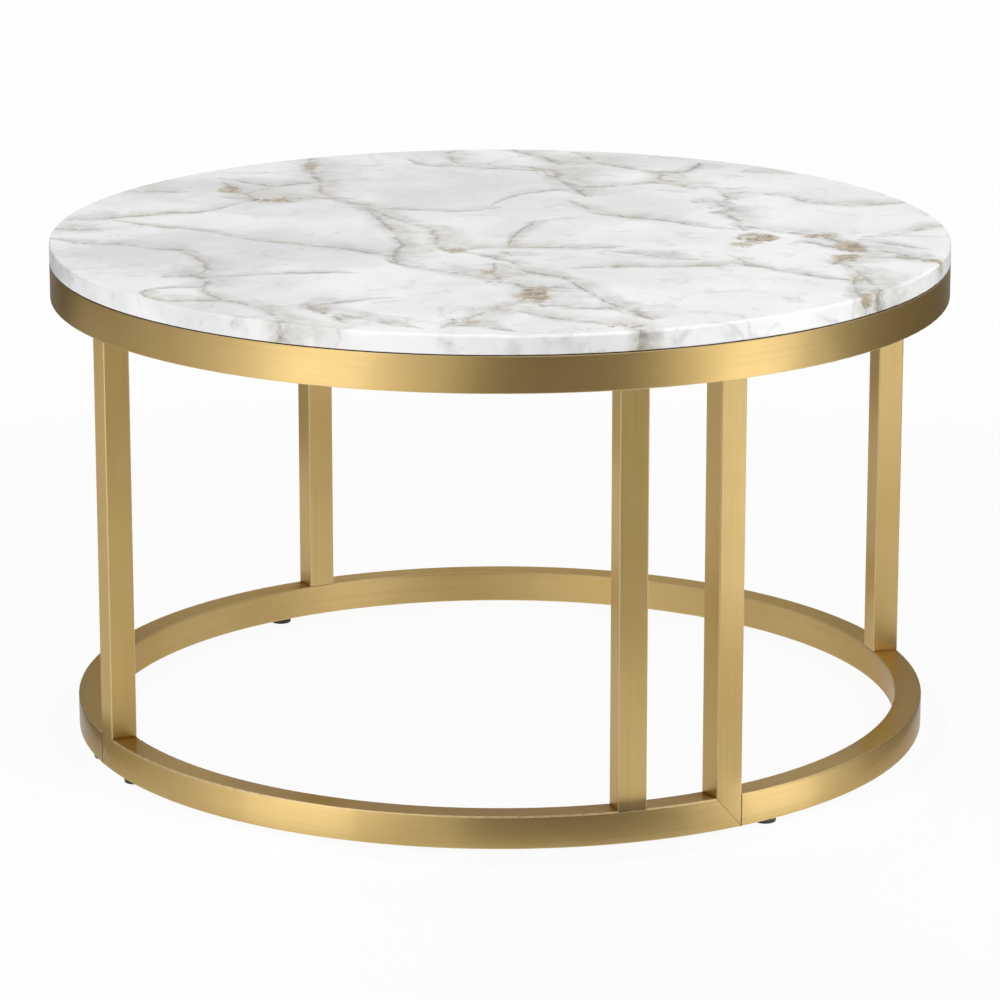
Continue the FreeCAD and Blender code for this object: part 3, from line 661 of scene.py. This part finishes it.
dress(["marble_top"], polished_marble())
dress(["top_band", "front_ring_arc", "rear_ring_arc"], brushed_brass("brass_round", around=True))
dress(named("leg_"), brushed_brass("brass_upright", around=False))
dress(["backer_board"], plywood())
dress(["support_ring"], black_paint())
dress(["top_inserts", "top_washers", "top_screws", "glide_nuts", *named("glide_stud_")], zinc_plate())
dress(named("glide_pad_"), black_nylon())

# Normals follow the larger faces, so that the narrow rounded corners shade evenly
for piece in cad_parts.values():
    even = piece.modifiers.new("even_normals", "WEIGHTED_NORMAL")
    even.keep_sharp = True


# Studio

FLOOR_REACH = 14.0
FLOOR_COLOUR = (0.75, 0.75, 0.75, 1.0)
FLOOR_WHITE = (1.0, 1.0, 1.0, 1.0)
WHITE_SHARE = 0.94

# Soft panels around the studio: degrees from the front, positive towards +X, then strength high up
# and low down. The two bright ones stand at the front left and the front right, and a low one at the left.
PANELS = [
    (-180, 0.66, 0.28), (-145, 0.62, 0.24), (-130, 0.24, 0.35), (-118, 0.08, 0.50), (-104, 0.08, 1.15),
    (-88, 0.36, 0.80), (-64, 0.92, 0.92), (-48, 1.72, 1.72), (-36, 2.30, 2.30), (-24, 1.42, 1.42),
    (-8, 0.64, 0.64), (8, 0.10, 0.10), (22, 0.13, 0.13), (34, 0.68, 0.68), (44, 1.66, 1.66),
    (51, 2.42, 2.42), (62, 1.66, 1.66), (74, 0.80, 0.80), (90, 0.32, 0.32), (120, 0.26, 0.25),
    (145, 0.62, 0.24), (180, 0.66, 0.28),
]
PANEL_FADE = (0.20, 0.40)
PANEL_RADIUS = 1.1
PANEL_HEIGHT = 0.65
PANEL_SIDES = 128

# Lower ring of panels: how far outside the base ring, its strengths, and how its angles are narrowed
LOW_PANEL_GAP = 0.03
LOW_PANEL_RANGE = (0.16, 2.0)
LOW_PANEL_SPREAD = 0.8

# Soft light overhead: its strength, and between which heights of direction it takes over
OVERHEAD = 1.28
OVERHEAD_FADE = (0.45, 0.75)

# Soft lamp at the front right
KEY_PLACE = (1.9, -1.7, 1.75)
KEY_SIZE = 0.8
KEY_POWER = 14.0


def panel_strength(tree, x, y, z, spread=1.0):
    """Strength of the panels in the direction of x and y, at a height."""
    forward = math_node(tree, "MULTIPLY", y, -1.0)
    share = remap(tree, math_node(tree, "ARCTAN2", x, forward), -math.pi * spread, math.pi * spread)
    high = curve(tree, share, [((angle + 180) / 360, strength) for angle, strength, _ in PANELS])
    low = curve(tree, share, [((angle + 180) / 360, strength) for angle, _, strength in PANELS])
    rise = remap(tree, z, *PANEL_FADE, smooth=True)
    return add(tree, "ShaderNodeMix", {0: rise, 2: low, 3: high}, data_type="FLOAT").outputs[0]


def make_world():
    """The panels' light goes on up into a soft white light overhead."""
    world = bpy.data.worlds.new("studio")
    bpy.context.scene.world = world
    world.use_nodes = True
    tree = world.node_tree
    direction = add(tree, "ShaderNodeTexCoord").outputs["Generated"]
    split = add(tree, "ShaderNodeSeparateXYZ", {0: direction}).outputs
    overhead = remap(tree, split[2], *OVERHEAD_FADE, smooth=True)
    side = panel_strength(tree, split[0], split[1], PANEL_HEIGHT)
    from_side = math_node(tree, "MULTIPLY", side, math_node(tree, "SUBTRACT", 1.0, overhead))
    strength = math_node(tree, "ADD", from_side, math_node(tree, "MULTIPLY", overhead, OVERHEAD))
    set_inputs(tree, tree.nodes["Background"], {"Color": (1.0, 1.0, 1.0, 1.0), "Strength": strength})


def stage_mesh(name, points, faces, material):
    """A piece of the studio, which isn't part of the table."""
    mesh = bpy.data.meshes.new(name)
    mesh.from_pydata(points, [], faces)
    mesh.materials.append(material)
    piece = bpy.data.objects.new(name, mesh)
    bpy.context.scene.collection.objects.link(piece)
    return piece


def ring_of_panels(name, radius, height, low=False):
    """A standing ring of panels, which the brass mirrors and the camera doesn't see."""
    material, tree, _ = new_material(name + "_light")
    x, y, z = place_in(tree)[1:]
    if low:
        most = max(strength for _, strength, _ in PANELS)
        strength = panel_strength(tree, x, y, PANEL_HEIGHT, LOW_PANEL_SPREAD)
        strength = remap(tree, strength, 0.0, most, *LOW_PANEL_RANGE)
    else:
        strength = panel_strength(tree, x, y, z)
    light = add(tree, "ShaderNodeEmission", {"Strength": strength}).outputs[0]
    tree.links.new(light, tree.nodes["Material Output"].inputs["Surface"])
    points = []
    faces = []
    for step in range(PANEL_SIDES):
        turn = 2 * math.pi * step / PANEL_SIDES
        after = (step + 1) % PANEL_SIDES
        points.append((radius * math.cos(turn), radius * math.sin(turn), 0.0))
        points.append((radius * math.cos(turn), radius * math.sin(turn), height))
        faces.append((2 * step, 2 * after, 2 * after + 1, 2 * step + 1))
    panels = stage_mesh(name, points, faces, material)
    panels.visible_camera = False


def make_floor():
    """A pale floor, white to the camera and in the brass, which keeps a faint shadow of the table."""
    material, tree, shader = new_material("pale_floor")
    set_inputs(tree, shader, {"Base Color": FLOOR_COLOUR, "Roughness": 0.9, "Specular IOR Level": 0.1})
    light_path = add(tree, "ShaderNodeLightPath").outputs
    seen = math_node(tree, "MAXIMUM", light_path["Is Camera Ray"], light_path["Is Glossy Ray"])
    seen = math_node(tree, "MAXIMUM", seen, light_path["Is Transmission Ray"])
    share = math_node(tree, "MULTIPLY", seen, WHITE_SHARE)
    white = add(tree, "ShaderNodeEmission", {"Color": FLOOR_WHITE, "Strength": 1.0}).outputs[0]
    mix = add(tree, "ShaderNodeMixShader", {0: share, 1: shader.outputs[0], 2: white})
    tree.links.new(mix.outputs[0], tree.nodes["Material Output"].inputs["Surface"])
    reach = FLOOR_REACH
    corners = [(-reach, -reach, 0.0), (reach, -reach, 0.0), (reach, reach, 0.0), (-reach, reach, 0.0)]
    stage_mesh("floor", corners, [(0, 1, 2, 3)], material)


def make_lamp(name, place, size, power):
    """A soft square lamp turned to the table, which the brass doesn't mirror."""
    light = bpy.data.lights.new(name, "AREA")
    light.size = size
    light.energy = power
    lamp = bpy.data.objects.new(name, light)
    bpy.context.scene.collection.objects.link(lamp)
    lamp.location = place
    aim = Vector((0.0, 0.0, MARBLE_LOW.z)) - lamp.location
    lamp.rotation_euler = aim.to_track_quat("-Z", "Y").to_euler()
    lamp.visible_glossy = False


def make_camera():
    camera_data = bpy.data.cameras.new("camera")
    camera_data.sensor_width = CAMERA_SENSOR
    camera_data.lens = CAMERA_LENS
    camera_data.clip_end = CAMERA_FAR
    camera = bpy.data.objects.new("camera", camera_data)
    camera.location = CAMERA_PLACE
    camera.rotation_euler = Euler((math.radians(90 - CAMERA_DOWN), 0.0, 0.0))
    bpy.context.scene.collection.objects.link(camera)
    bpy.context.scene.camera = camera


make_world()
ring_of_panels("tall_panels", PANEL_RADIUS, PANEL_HEIGHT)
ring_of_panels("low_panels", RING_HIGH.x + LOW_PANEL_GAP, RING_HIGH.z, low=True)
make_floor()
make_lamp("key_right", KEY_PLACE, KEY_SIZE, KEY_POWER)
make_camera()
bpy.context.scene.view_settings.view_transform = "Standard"
